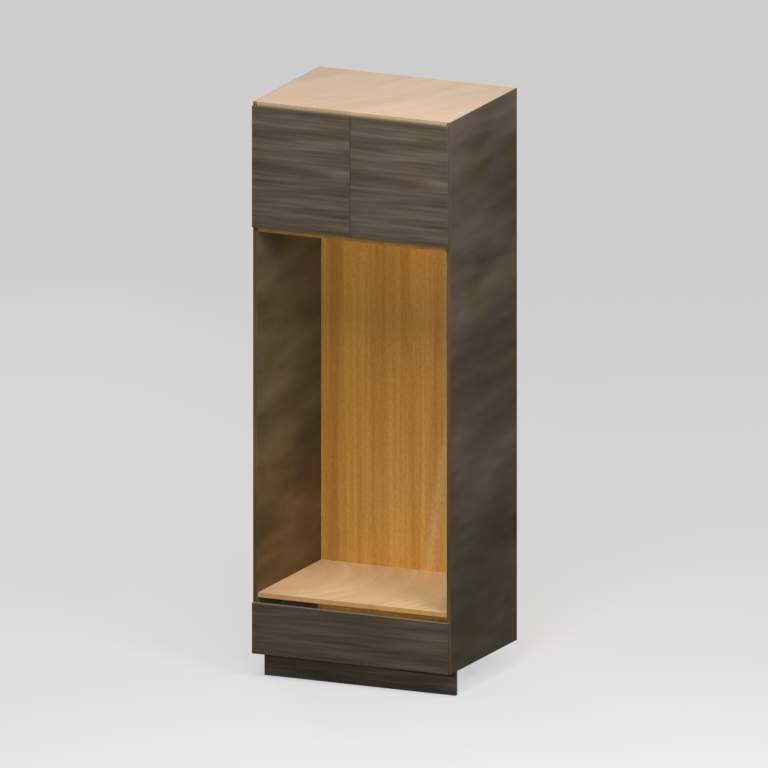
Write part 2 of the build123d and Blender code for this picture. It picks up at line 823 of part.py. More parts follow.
def channel(web, mouth, half_height, lip, side):
    """A runner member's section: a web, two flanges and their lips."""
    points = [(mouth, -half_height), (web, -half_height), (web, half_height), (mouth, half_height)]
    if lip:
        points = [(mouth, lip - half_height)] + points + [(mouth, half_height - lip)]
    return folded(points, runner_sheet, runner_bend, side)


def runner_member(section):
    """A member of the left runner, from its section."""
    return along_y(section, runner_length, -x_in, runner_start + runner_length, runner_level)


def rail_screw_places():
    """The flush screws that hold the rail to the left side."""
    step = (runner_length - 2 * rail_screw_inset) / (rail_screw_count - 1)
    ys = [runner_start + rail_screw_inset + step * number for number in range(rail_screw_count)]
    return [Pos(-x_in, y, runner_level) * Rot(0, 90, 0) for y in ys]


def runner_rail():
    """The fixed member, with holes for its screws."""
    rail = runner_member(channel(0, rail_mouth, runner_half_height, runner_lip, Side.RIGHT))
    hole = rod_z(rail_screw_radius + screw_play, 0, 0, -overrun, runner_sheet + overrun)
    return rail - [place * hole for place in rail_screw_places()]


def runner_screws():
    """Flush screws in the rails."""
    head = rod_z(rail_screw_radius, 0, 0, 0, runner_sheet)
    shank = rod_z(screw_radius, 0, 0, -screw_length, 0)
    return group(on_both_sides([place * (head + shank) for place in rail_screw_places()]))


def runner_middle():
    """The middle member, which moves half as far as the drawer."""
    return runner_member(channel(middle_web, middle_mouth, middle_half_height, runner_lip, Side.RIGHT))


def runner_slide():
    """The member fixed to the drawer's steel side."""
    mouth = middle_web + runner_sheet + cage_gap
    return runner_member(channel(runner_width, mouth, slide_half_height, 0, Side.LEFT))


def ball_cage(web, mouth, half_height):
    """A thin cage between two members, with two rows of balls."""
    points = [(mouth, -half_height), (web, -half_height), (web, half_height), (mouth, half_height)]
    section = folded(points, cage_sheet, runner_bend, Side.RIGHT)
    cage = along_y(section, cage_length, -x_in, cage_start + cage_length, runner_level)
    x = (web + cage_sheet + mouth) / 2 - x_in
    step = (cage_length - 2 * cage_end_margin) / (ball_count - 1)
    solids = []
    for number in range(ball_count):
        y = cage_start + cage_end_margin + step * number
        for sign in (-1, 1):
            z = runner_level + sign * (half_height - cage_sheet / 2)
            solids.append(Pos(x, y, z) * Sphere(ball_radius))
            cage -= Pos(x, y, z) * Cylinder(ball_radius + ball_play, cage_sheet + 2 * overrun)
    return group([cage] + solids)


def outer_cage():
    """The balls between the rail and the middle member."""
    half = middle_half_height + ball_gap / 2 + cage_sheet / 2
    return ball_cage(runner_sheet + cage_play, rail_mouth - runner_sheet - cage_play, half)


def inner_cage():
    """The balls between the middle member and the drawer's member."""
    half = slide_half_height + ball_gap / 2 + cage_sheet / 2
    web = middle_web + runner_sheet + cage_play
    return ball_cage(web, middle_mouth - runner_sheet - cage_play, half)


# Pieces that have a left and a right one
paired = {
    "side": side_board,
    "hinge_plates": hinge_plates,
    "hinge_arms": hinge_arms,
    "hinge_screws": hinge_screws,
    "door": door,
    "hinge_cups": hinge_cups,
    "hinge_pins": hinge_pins,
    "cup_screws": cup_screws,
    "door_buffer": door_buffer,
    "runner_rail": runner_rail,
    "runner_middle": runner_middle,
    "runner_slide": runner_slide,
    "outer_cage": outer_cage,
    "inner_cage": inner_cage,
    "drawer_side": drawer_side,
}

# Pieces, or groups, that are there once
single = {
    "top_panel": top_panel,
    "bottom_panel": bottom_panel,
    "back_panel": back_panel,
    "cam_housings": cam_housings,
    "cam_bolts": cam_bolts,
    "dowels": dowels,
    "leg_sockets": leg_sockets,
    "leg_feet": leg_feet,
    "leg_screws": leg_screws,
    "plinth_board": plinth_board,
    "plinth_clips": plinth_clips,
    "wall_brackets": wall_brackets,
    "bracket_screws": bracket_screws,
    "runner_screws": runner_screws,
    "drawer_front": drawer_front,
    "drawer_bottom": drawer_bottom,
    "drawer_back": drawer_back,
    "front_brackets": front_brackets,
    "rear_brackets": rear_brackets,
    "drawer_screws": drawer_screws,
    "drawer_buffers": drawer_buffers,
}

nodes = {name: make() for name, make in single.items()}
nodes["upper_deck"] = niche_board(deck_bottom)
nodes["niche_floor"] = niche_board(niche_floor_bottom)
for name, make in paired.items():
    left = make()
    nodes[name + "_left"] = left
    nodes[name + "_right"] = mirrored(left)

for name, shape in nodes.items():
    export_step(shape, "parts/" + name + ".step")
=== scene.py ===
import bmesh
import bpy
import json
from math import cos, pi, radians, sin
from mathutils import Matrix, Vector

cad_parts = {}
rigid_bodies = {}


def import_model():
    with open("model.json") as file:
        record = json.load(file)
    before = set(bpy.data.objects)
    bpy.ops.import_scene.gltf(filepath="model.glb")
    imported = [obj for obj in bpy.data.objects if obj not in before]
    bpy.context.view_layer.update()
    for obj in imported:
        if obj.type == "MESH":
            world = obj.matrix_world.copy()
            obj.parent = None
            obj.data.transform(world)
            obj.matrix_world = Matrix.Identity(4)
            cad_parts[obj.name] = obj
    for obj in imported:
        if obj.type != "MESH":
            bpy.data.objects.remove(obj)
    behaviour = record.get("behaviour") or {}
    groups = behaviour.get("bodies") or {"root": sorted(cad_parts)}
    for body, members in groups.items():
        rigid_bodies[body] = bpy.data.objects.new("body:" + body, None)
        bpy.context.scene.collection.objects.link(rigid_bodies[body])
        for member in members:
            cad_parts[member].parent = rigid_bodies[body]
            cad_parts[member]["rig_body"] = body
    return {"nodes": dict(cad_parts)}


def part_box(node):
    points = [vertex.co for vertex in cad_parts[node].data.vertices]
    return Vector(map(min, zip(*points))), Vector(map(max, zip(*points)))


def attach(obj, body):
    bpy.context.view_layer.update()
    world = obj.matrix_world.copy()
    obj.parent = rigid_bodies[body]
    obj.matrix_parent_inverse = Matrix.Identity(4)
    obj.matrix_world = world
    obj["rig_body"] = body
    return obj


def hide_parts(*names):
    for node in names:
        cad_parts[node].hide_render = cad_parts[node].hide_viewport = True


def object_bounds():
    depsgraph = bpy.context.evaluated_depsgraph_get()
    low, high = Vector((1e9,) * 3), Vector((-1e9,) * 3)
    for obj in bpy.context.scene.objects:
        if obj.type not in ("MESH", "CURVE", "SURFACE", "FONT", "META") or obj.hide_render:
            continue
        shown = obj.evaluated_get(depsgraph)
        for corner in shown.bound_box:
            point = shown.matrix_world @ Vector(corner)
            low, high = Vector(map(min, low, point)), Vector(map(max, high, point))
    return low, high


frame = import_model()
cad_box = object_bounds()
nodes = frame["nodes"]

# Open-front pantry cabinet: dark streaked laminate outside, pale wood boards and a golden back.
# Metres, in the frame of the model: +Z is up and the fronts face -Y.
# The values that only one part of the script uses stand before that part.

# View of the photograph
view_azimuth = radians(24.56)
view_elevation = radians(13.87)
view_width = 2.9645
view_distance = 8.0

# Strength of the world, and of the world seen directly, which is as bright as the far floor
world_level = 0.30
seen_level = 0.60

# Lamps: name, place, target, width, height, watts and beam in degrees
lamps = (
    ("high", (1.4, -4.6, 6.6), (0, 0, 1.1), 2.4, 2.4, 262.0, 180),
    ("strip", (2.1, -4.6, 1.5), (0, 0, 0.9), 2.4, 0.14, 110.0, 180),
    ("side", (3.2, -2.2, 3.2), (0.4, 0, 1.3), 1.6, 1.6, 104.0, 180),
    ("rear", (-4.8, 5.2, 1.25), (0, 0, 1.2), 2.0, 2.0, 40.0, 50),
)

# Floor: the grey and the glow seen directly, half of each, and the grey that lights the cabinet
floor_radius = 16.0
floor_sides = 96
floor_seen = 0.45
floor_glow = 1.06
floor_bounce = 0.15

# Sides of the carcass: their outer face and their thickness
side_face = abs(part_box("side_left")[0].x)
side_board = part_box("side_left")[1].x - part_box("side_left")[0].x


# Colours
def rgb(red, green, blue):
    """A colour from its screen values of 0 to 255."""
    linear = []
    for value in (red / 255, green / 255, blue / 255):
        linear.append(value / 12.92 if value <= 0.04045 else ((value + 0.055) / 1.055) ** 2.4)
    return (*linear, 1.0)


def grey(level):
    """A grey from its linear level."""
    return (level, level, level, 1.0)


def dimmed(colour, share):
    """A share of a colour."""
    return tuple(share * part for part in colour[:3]) + (1.0,)


# Materials
facing_limit = 0.7              # least part of a normal along an axis that its surface faces
ramp_middle = 0.5


class Graph:
    """A material in the making, with short calls for the nodes that the finishes share.

    A value can be a plain number or colour, or the output of a node.
    """

    def __init__(self, name):
        self.material = bpy.data.materials.new(name)
        self.material.use_nodes = True
        self.tree = self.material.node_tree
        self.tree.nodes.clear()
        self.surface = self.node("ShaderNodeBsdfPrincipled")
        self.output = self.node("ShaderNodeOutputMaterial")
        self.feed(self.output.inputs["Surface"], self.surface.outputs["BSDF"])
        place = self.node("ShaderNodeTexCoord")
        self.place = place.outputs["Object"]
        self.normal = place.outputs["Normal"]

    def node(self, kind, **settings):
        """A new node with its settings."""
        made = self.tree.nodes.new(kind)
        for name, value in settings.items():
            setattr(made, name, value)
        return made

    def feed(self, socket, value):
        """Links a socket to an output, or sets it to a plain value."""
        if isinstance(value, bpy.types.NodeSocket):
            self.tree.links.new(value, socket)
        else:
            socket.default_value = value

    def math(self, operation, first, second=0.0):
        """One step of arithmetic on one or two values."""
        made = self.node("ShaderNodeMath", operation=operation)
        self.feed(made.inputs[0], first)
        self.feed(made.inputs[1], second)
        return made.outputs[0]

    def weighted(self, values, weights):
        """The total of several values, each times its weight."""
        total = None
        for value, weight in zip(values, weights):
            part = self.math("MULTIPLY", value, weight)
            total = part if total is None else self.math("ADD", total, part)
        return total

    def split(self, vector):
        """The three parts of a vector."""
        made = self.node("ShaderNodeSeparateXYZ")
        self.feed(made.inputs[0], vector)
        return made.outputs

    def join(self, x, y, z):
        """A vector from its three parts."""
        made = self.node("ShaderNodeCombineXYZ")
        for socket, value in zip(made.inputs, (x, y, z)):
            self.feed(socket, value)
        return made.outputs[0]

    def mapped(self, vector, scale=(1, 1, 1), shift=(0, 0, 0)):
        """A vector scaled on each axis and then shifted."""
        made = self.node("ShaderNodeMapping")
        self.feed(made.inputs["Vector"], vector)
        made.inputs["Scale"].default_value = scale
        made.inputs["Location"].default_value = shift
        return made.outputs[0]

    def noise(self, vector, scale, detail=2.0, roughness=0.5, warp=0.0):
        """Noise with about as many features to the metre as the scale of each axis says."""
        made = self.node("ShaderNodeTexNoise")
        self.feed(made.inputs["Vector"], self.mapped(vector, scale))
        made.inputs["Scale"].default_value = 1.0
        made.inputs["Detail"].default_value = detail
        made.inputs["Roughness"].default_value = roughness
        made.inputs["Distortion"].default_value = warp
        return made.outputs["Fac"]

    def ramp(self, factor, stops):
        """A colour or a grey for each place on the factor; stops are (place, colour or number)."""
        made = self.node("ShaderNodeValToRGB")
        self.feed(made.inputs[0], factor)
        elements = made.color_ramp.elements
        while len(elements) < len(stops):
            elements.new(0.5)
        for element, (place, value) in zip(elements, stops):
            element.position = place
            element.color = value if isinstance(value, tuple) else grey(value)
        return made.outputs[0]

    def along(self, coordinate, sign=1):
        """A place on a ramp that is a metre long, with its middle where the coordinate is 0."""
        if sign < 0:
            return self.math("SUBTRACT", ramp_middle, coordinate)
        return self.math("ADD", coordinate, ramp_middle)

    def mix(self, factor, first, second, blend="MIX"):
        """Two colours mixed; sockets 6 and 7 of the node are those of its colours."""
        made = self.node("ShaderNodeMix", data_type="RGBA", blend_type=blend)
        self.feed(made.inputs[0], factor)
        self.feed(made.inputs[6], first)
        self.feed(made.inputs[7], second)
        return made.outputs[2]

    def tint(self, tone, tint, share=1.0):
        """A tone times a tint, or times a share of it."""
        return self.mix(share, tone, tint, blend="MULTIPLY")

    def cover(self, colour, roughness, height, relief, gloss=0.5):
        """Gives the surface its colour, roughness, gloss and relief; the height's 0 to 1 is that relief."""
        self.feed(self.surface.inputs["Base Color"], colour)
        self.feed(self.surface.inputs["Roughness"], roughness)
        self.surface.inputs["Specular IOR Level"].default_value = gloss
        made = self.node("ShaderNodeBump")
        made.inputs["Strength"].default_value = 1.0
        made.inputs["Distance"].default_value = relief
        self.feed(made.inputs["Height"], height)
        self.feed(self.surface.inputs["Normal"], made.outputs[0])

    def facing(self, axis, sign=0):
        """1 where the surface faces that axis: either way, or the way that sign gives."""
        part = self.split(self.normal)[axis]
        if sign == 0:
            part = self.math("ABSOLUTE", part)
        elif sign < 0:
            part = self.math("MULTIPLY", part, -1.0)
        return self.math("GREATER_THAN", part, facing_limit)


# Dark laminate: features per metre along the grain, across it and into the board
sway_scale = (0.9, 0.7, 0.5)
sway_width = 0.014              # how far the streaks sway, in metres
streak_lengths = (1.6, 3.2, 6.0)    # of broad streaks, fine ones and hairs, along the grain
streak_details = (2.0, 3.0, 2.0)
hairs_to_streak = 4.0           # hairs in the width of a fine streak
streak_depth = 0.5
patch_scale = (4.0, 5.5, 0.5)
fibre_scale = (14.0, 900.0, 0.5)

streak_places = (0.34, 0.50, 0.66)
olive_tint = rgb(240, 240, 198)
olive_patches = [(0.52, 0.0), (0.68, 0.6)]
rosy_tint = rgb(250, 240, 236)
rosy_patches = [(0.32, 0.6), (0.46, 0.0)]
fibre_shades = [(0.35, 0.94), (0.65, 1.03)]
fibre_roughness = [(0.3, 0.56), (0.7, 0.68)]
fibre_relief = 0.00006

# Broad and fine streaks per metre across the grain, and the weights of broad ones, fine ones and hairs
front_streaks = (22.0, 74.0, (0.52, 0.38, 0.10))
side_streaks = (7.0, 19.0, (0.68, 0.28, 0.04))
front_gloss = 0.1
side_gloss = 0.02
# Paler tone of the upper faces of the fronts and the plinth: painted highlight of the light from above
front_top_highlight_tone = rgb(122, 111, 97)
# Pale tone of the sides' top faces: painted highlight of the light from above
side_top_highlight_tone = rgb(222, 204, 180)
top_line_width = 0.0036          # width of the line in another painted highlight tone along the outer edge of the sides' tops

# Painted light and shade on the sides, by height from 0 at the floor to 1 at the top where no comment says
# otherwise
outer_painted_light_and_shade = [
    (0.08, (0.84, 0.88, 0.82, 1.0)),
    (0.55, (1.0, 1.0, 0.98, 1.0)),
    (0.80, (0.95, 0.95, 0.97, 1.0)),
    (0.95, (1.36, 1.34, 1.60, 1.0)),
]
zone_middle = 0.92              # height of one paler zone, and the way to the next, in metres
zone_step = 0.72
zone_painted_light_and_shade = [(0.0, (0.82, 0.83, 0.77, 1.0)), (1.0, (1.18, 1.16, 1.19, 1.0))]  # darkest to palest
# Inner face: painted warm light at the foot, painted shade towards the back, and painted light and shade at
# the rear, palest at the top
inner_painted_warm_light = [
    (0.18, (1.16, 1.04, 0.80, 1.0)),
    (0.45, (1.0, 0.98, 0.94, 1.0)),
    (0.75, (1.0, 1.03, 1.10, 1.0)),
]
inner_depth_painted_shade = [(0.25, 0.92), (0.85, 0.98)]   # from the back to the front
inner_rear = [(0.42, 0.0), (0.62, 1.0)]     # from the front to the back: share of the shades below
inner_rear_painted_light_and_shade = [(0.20, 1.10), (0.38, 0.81), (0.60, 0.98), (0.69, 1.45), (0.75, 2.05)]


def grain_place(graph, flat_axis, grain_axis):
    """Coordinates along the grain, across it and into the board.

    The edges of the board carry the grain along their length.
    """
    parts = graph.split(graph.place)
    across_axis = 3 - flat_axis - grain_axis
    place = graph.join(parts[grain_axis], parts[across_axis], parts[flat_axis])
    ends = graph.join(parts[across_axis], parts[flat_axis], parts[grain_axis])
    long_edges = graph.join(parts[grain_axis], parts[flat_axis], parts[across_axis])
    place = graph.mix(graph.facing(grain_axis), place, ends)
    return graph.mix(graph.facing(across_axis), place, long_edges)


def streaked(graph, place, broad, fine, weights, tones):
    """The printed grain of the laminate in its dark, middle and light tone, with faint patches."""
    sway = graph.noise(place, sway_scale, detail=1.0)
    parts = graph.split(place)
    across = graph.math("ADD", parts[1], graph.math("MULTIPLY", sway, sway_width))
    place = graph.join(parts[0], across, parts[2])
    widths = (broad, fine, fine * hairs_to_streak)
    layers = []
    for length, width, detail in zip(streak_lengths, widths, streak_details):
        layers.append(graph.noise(place, (length, width, streak_depth), detail=detail))
    tone = graph.ramp(graph.weighted(layers, weights), list(zip(streak_places, tones)))
    patches = graph.noise(place, patch_scale, detail=1.0)
    tone = graph.tint(tone, olive_tint, graph.ramp(patches, olive_patches))
    return graph.tint(tone, rosy_tint, graph.ramp(patches, rosy_patches))


def laminate_surface(graph, tone, place, gloss):
    """The fine pressed texture that all laminates share, and how much it shines."""
    fibres = graph.noise(place, fibre_scale, roughness=0.6)
    tone = graph.tint(tone, graph.ramp(fibres, fibre_shades))
    graph.cover(tone, graph.ramp(fibres, fibre_roughness), fibres, fibre_relief, gloss)


def front_laminate(name, origin, tones):
    """The laminate of the fronts and the plinth, its grain across the cabinet, with a painted highlight on
    its upper faces.
    """
    graph = Graph(name)
    place = graph.mapped(grain_place(graph, 1, 0), shift=origin)
    tone = streaked(graph, place, *front_streaks, tones)
    # painted highlight on the upper faces
    tone = graph.mix(graph.facing(2, 1), tone, front_top_highlight_tone)
    laminate_surface(graph, tone, place, front_gloss)
    return graph


def side_depth(graph):
    """How far in from the outer face of a side a point lies."""
    return graph.math("SUBTRACT", side_face, graph.math("ABSOLUTE", graph.split(graph.place)[0]))


def pale_tops(graph, tone, top_line_highlight_tone):
    """The top face of a side in a pale painted highlight of the light from above, with a line in another
    highlight tone along its outer face.
    """
    line = graph.math("LESS_THAN", side_depth(graph), top_line_width)
    edge = graph.mix(line, side_top_highlight_tone, top_line_highlight_tone)
    return graph.mix(graph.facing(2, 1), tone, edge)


def side_laminate(name, origin, edge_tint, top_line_highlight_tone):
    """The laminate of the sides, with its grain from front to back.

    On its outer face it has painted shade towards the floor and painted light near the top and in zones;
    its inner face is a lighter copy of the laminate, with painted warm light at the foot and painted light
    and shade towards the rear.
    """
    graph = Graph(name)
    place = graph.mapped(grain_place(graph, 0, 1), shift=origin)
    parts = graph.split(graph.place)
    height = graph.math("DIVIDE", parts[2], cad_box[1].z)

    outside = streaked(graph, place, *side_streaks, side_tones)
    # painted shade towards the floor, painted light near the top, then painted light and shade in zones up
    # the face
    outside = graph.tint(outside, graph.ramp(height, outer_painted_light_and_shade))
    turn = graph.math("MULTIPLY", graph.math("SUBTRACT", parts[2], zone_middle), 2 * pi / zone_step)
    wave = graph.math("MULTIPLY", graph.math("COSINE", turn), 0.5)
    outside = graph.tint(outside, graph.ramp(graph.along(wave), zone_painted_light_and_shade))

    # the inner face: a lighter copy of the laminate, with painted light and shade
    inside = streaked(graph, place, *side_streaks, inner_lit_tones)
    inside = graph.tint(inside, graph.ramp(graph.along(parts[1], -1), inner_depth_painted_shade))
    inside = graph.tint(inside, graph.ramp(height, inner_painted_warm_light))
    rear = graph.ramp(graph.along(parts[1]), inner_rear)
    inside = graph.tint(inside, graph.ramp(height, inner_rear_painted_light_and_shade), rear)

    inner = graph.math("GREATER_THAN", side_depth(graph), side_board / 2)
    tone = graph.mix(inner, outside, inside)
    tone = graph.mix(graph.facing(1, -1), tone, graph.tint(outside, edge_tint))
    laminate_surface(graph, pale_tops(graph, tone, top_line_highlight_tone), place, side_gloss)
    return graph


# Pale wood: features per metre along its rings, out from their centre and upwards
figure_scale = (1.6, 8.0, 3.0)
ring_scale = (2.6, 46.0, 3.0)
pore_scale = (22.0, 420.0, 60.0)

figure_warp = 0.35
figure_weights = (0.62, 0.38)   # of the broad figure and the rings
pale_places = (0.36, 0.50, 0.64)
pale_edge_places = (0.35, 0.65)
pore_shades = [(0.34, 0.965), (0.50, 1.0)]
pore_roughness = [(0.3, 0.62), (0.7, 0.74)]
pore_relief = 0.00005
pale_gloss = 0.1

# Painted light and shade on the niche floor, from the front to the back or from the left to the right
niche_rear_shade_tint = rgb(255, 248, 233)
niche_rear = [(0.35, 0.0), (0.78, 1.0)]
niche_left_painted_shade = [(0.10, 0.84), (0.26, 1.0)]
niche_corner_light_tint = (1.30, 1.32, 1.34, 1.0)
niche_right = [(0.50, 0.0), (0.66, 1.0)]


def pale_wood(name, centre, tones, shaded_edge_tones, niche_painted_light=False):
    """Pale wood whose figure sweeps round a centre, with front edges in darker tones as painted shade.

    For the niche floor it takes painted shade, warmer towards its back and darker at its left, and painted
    light in its right rear corner.
    """
    graph = Graph(name)
    parts = graph.split(graph.place)
    away = graph.node("ShaderNodeVectorMath", operation="DISTANCE")
    graph.feed(away.inputs[0], graph.join(parts[0], parts[1], 0.0))
    away.inputs[1].default_value = (*centre, 0.0)
    swept = graph.join(parts[1], away.outputs["Value"], parts[2])
    figure = graph.noise(swept, figure_scale, warp=figure_warp)
    rings = graph.noise(swept, ring_scale)
    pores = graph.noise(swept, pore_scale, roughness=0.6)
    shade = graph.weighted((figure, rings), figure_weights)
    tone = graph.ramp(shade, list(zip(pale_places, tones)))
    if niche_painted_light:
        # painted shade towards the back and at the left, painted light in the right rear corner
        rear = graph.ramp(graph.along(parts[1]), niche_rear)
        tone = graph.tint(tone, niche_rear_shade_tint, rear)
        across = graph.along(parts[0])
        tone = graph.tint(tone, graph.ramp(across, niche_left_painted_shade))
        corner = graph.math("MULTIPLY", rear, graph.ramp(across, niche_right))
        tone = graph.tint(tone, niche_corner_light_tint, corner)
    # front edges in darker tones: painted shade
    edge = graph.ramp(shade, list(zip(pale_edge_places, shaded_edge_tones)))
    tone = graph.mix(graph.facing(1, -1), tone, edge)
    tone = graph.tint(tone, graph.ramp(pores, pore_shades))
    graph.cover(tone, graph.ramp(pores, pore_roughness), pores, pore_relief, pale_gloss)
    return graph


# Golden veneer: features per metre across, into the board and upwards
band_scale = (9.0, 1.0, 0.35)
line_scale = (70.0, 1.0, 1.2)
fleck_scale = (260.0, 1.0, 75.0)

band_warp = 0.3
band_weights = (0.60, 0.40)     # of the broad bands and the lines
golden_places = (0.37, 0.50, 0.63)
golden_roughness = 0.45
fleck_shades = [(0.30, 0.89), (0.50, 1.0), (0.70, 1.13)]
fleck_relief = 0.00006

# Painted light and shade on the back, from the left to the right, or by its height as a share of back_reach
back_reach = 2.0
back_painted_shade = [(0.10, 0.77), (0.155, 0.64), (0.22, 0.76), (0.36, 0.81), (0.56, 1.03)]
back_painted_light_and_shade = [(0.20, 0.98), (0.46, 0.85), (0.66, 0.98), (0.78, 1.24), (0.89, 1.46)]
back_rich_shade_tint = rgb(255, 246, 214)
back_rich_shade_share = [(0.10, 0.55), (0.30, 0.5), (0.56, 0.0)]

# The light sweep on the back, whose left border leans further to the right as it rises
sweep_foot = 0.35               # height of its foot, and the border's x there
sweep_start = 0.050
sweep_lean = 0.11               # the border's lean at the foot, and what it gains per metre of height
sweep_bend = 0.08
sweep_sharpness = 5.0           # ramp lengths per metre, across the border
sweep_shares = [(0.38, 0.0), (0.47, 0.36), (0.54, 0.42), (0.68, 0.26), (1.0, 0.20)]
sweep_fade = [(0.48, 1.0), (0.72, 0.0)]     # by height, as back_painted_light_and_shade
sweep_tone = rgb(216, 180, 118)


def swept_light(graph, tone, parts, height):
    """The soft light sweep at the lower right of the back's front face."""
    rise = graph.math("SUBTRACT", parts[2], sweep_foot)
    lean = graph.math("ADD", graph.math("MULTIPLY", rise, sweep_bend), sweep_lean)
    border = graph.math("ADD", graph.math("MULTIPLY", rise, lean), sweep_start)
    past = graph.math("MULTIPLY", graph.math("SUBTRACT", parts[0], border), sweep_sharpness)
    share = graph.ramp(graph.along(past), sweep_shares)
    share = graph.math("MULTIPLY", share, graph.ramp(height, sweep_fade))
    share = graph.math("MULTIPLY", share, graph.facing(1, -1))
    return graph.mix(share, tone, sweep_tone)


def golden_wood(name, tones, uneven):
    """Golden veneer with upright grain, broad bands and short flecks; uneven gives it the back's pale sweep
    and its painted light and shade.
    """
    graph = Graph(name)
    bands = graph.noise(graph.place, band_scale, warp=band_warp)
    lines = graph.noise(graph.place, line_scale, detail=3.0)
    flecks = graph.noise(graph.place, fleck_scale, detail=1.0)
    shade = graph.weighted((bands, lines), band_weights)
    tone = graph.ramp(shade, list(zip(golden_places, tones)))
    if uneven:
        parts = graph.split(graph.place)
        height = graph.math("DIVIDE", parts[2], back_reach)
        across = graph.along(parts[0])
        tone = swept_light(graph, tone, parts, height)
        # painted shade towards the left, painted light and shade by height, and a deeper golden painted
        # shade at the left
        tone = graph.tint(tone, graph.ramp(across, back_painted_shade))
        tone = graph.tint(tone, graph.ramp(height, back_painted_light_and_shade))
        tone = graph.tint(tone, back_rich_shade_tint, graph.ramp(across, back_rich_shade_share))
    tone = graph.tint(tone, graph.ramp(flecks, fleck_shades))
    graph.cover(tone, golden_roughness, flecks, fleck_relief)
    return graph


# Metal, paint, plastic and rubber: features per metre
blotch_scale = (60, 60, 60)
brush_scale = (900, 120, 900)
grain_scale = (1400, 1400, 1400)
cloud_scale = (25, 25, 25)

metal_share = 0.85
blotch_places = (0.35, 0.65)
blotch_dim = 0.86               # the darker tone as a share of the colour, on metal and then on the rest
cloud_dim = 0.88
metal_spread = (0.06, 0.08)     # how much smoother and rougher than its roughness a finish gets
coated_spread = (0.05, 0.08)
wide_places = (0.3, 0.7)        # of every other ramp on these finishes


def uneven_roughness(graph, pattern, roughness, spread):
    """A roughness that goes with a pattern from smoother to rougher."""
    smoother, rougher = spread
    return graph.ramp(pattern, list(zip(wide_places, (roughness - smoother, roughness + rougher))))


def metal(name, colour, roughness, relief):
    """Plated or cast metal, with faint brushing or casting texture."""
    graph = Graph(name)
    graph.surface.inputs["Metallic"].default_value = metal_share
    blotches = graph.noise(graph.place, blotch_scale, detail=3.0)
    marks = graph.noise(graph.place, brush_scale)
    tone = graph.ramp(blotches, list(zip(blotch_places, (dimmed(colour, blotch_dim), colour))))
    graph.cover(tone, uneven_roughness(graph, marks, roughness, metal_spread), marks, relief)
    return graph


def coated(name, colour, roughness, relief):
    """Paint, plastic or rubber with a fine moulded or sprayed texture."""
    graph = Graph(name)
    grains = graph.noise(graph.place, grain_scale, detail=1.0)
    clouds = graph.noise(graph.place, cloud_scale)
    tone = graph.ramp(clouds, list(zip(wide_places, (dimmed(colour, cloud_dim), colour))))
    graph.cover(tone, uneven_roughness(graph, grains, roughness, coated_spread), grains, relief)
    return graph


# Dark, middle and light tones of the boards, and darker and lighter tones of their edges
side_tones = (rgb(63, 54, 42), rgb(76, 67, 55), rgb(90, 80, 68))
# Tones of the inner faces of the sides: a lighter copy of the side tones, painted light
inner_lit_tones = (rgb(76, 63, 47), rgb(90, 76, 57), rgb(104, 89, 68))
front_tones = (rgb(54, 45, 34), rgb(73, 64, 53), rgb(94, 84, 72))
# Tones of the drawer front: a darker copy of the fronts' tones, painted shade low on the cabinet
drawer_shaded_tones = (rgb(51, 43, 32), rgb(69, 61, 49), rgb(88, 79, 67))
plinth_tones = (rgb(46, 38, 28), rgb(69, 60, 49), rgb(94, 85, 73))
# Top tones: the wood's own pale colour with painted sheen of the light from above
top_sheen_tones = (rgb(228, 196, 164), rgb(231, 203, 173), rgb(234, 210, 185))
# Niche floor tones: the same wood more golden and darker, painted shade inside the niche
niche_shaded_tones = (rgb(218, 178, 130), rgb(225, 188, 143), rgb(232, 197, 154))
back_tones = (rgb(178, 125, 44), rgb(195, 141, 60), rgb(211, 159, 78))
# Tones of the drawer back: brighter than the back's, painted light in the gap above the drawer
drawer_back_lit_tones = (rgb(205, 146, 62), rgb(217, 158, 72), rgb(228, 170, 84))
# Front-edge tones of the pale boards: painted shade of faces turned from the light above, deepest on the
# deck's edge under the doors
top_shaded_edge_tones = (rgb(152, 125, 92), rgb(167, 139, 106))
deck_shaded_edge_tones = (rgb(134, 98, 42), rgb(150, 112, 52))
niche_shaded_edge_tones = (rgb(163, 124, 75), rgb(179, 140, 89))

# Start of each side's grain, tint of its front edge, and tone of the painted highlight line along its top
left_side = ((0.3, 0.2, 0.0), rgb(255, 255, 250), rgb(205, 188, 166))
right_side = ((1.7, 0.2, 0.0), rgb(255, 238, 214), rgb(128, 118, 106))

# Finishes by the slots of the record
finishes = {
    "back_wood": golden_wood("back_wood_finish", back_tones, True),
    "light_wood": pale_wood("light_wood_finish", (-1.5, 0.6), top_sheen_tones, top_shaded_edge_tones),
    "plinth_laminate": front_laminate("plinth_finish", (0, 0, 0), plinth_tones),
    "beech": coated("beech_finish", rgb(205, 168, 120), 0.55, 0.00003),
    "zinc": metal("zinc_finish", rgb(196, 196, 198), 0.34, 0.000004),
    "steel": metal("steel_finish", rgb(205, 206, 209), 0.26, 0.000014),
    "dark_steel": coated("dark_steel_finish", rgb(101, 91, 78), 0.45, 0.00003),
    "black_plastic": coated("black_plastic_finish", rgb(38, 38, 39), 0.5, 0.00004),
    "clear_rubber": coated("clear_rubber_finish", rgb(214, 214, 208), 0.35, 0.00001),
}
for name, node in nodes.items():
    for holder in node.material_slots:
        slot = holder.material.name
        if slot in finishes:
            holder.material = finishes[slot].material

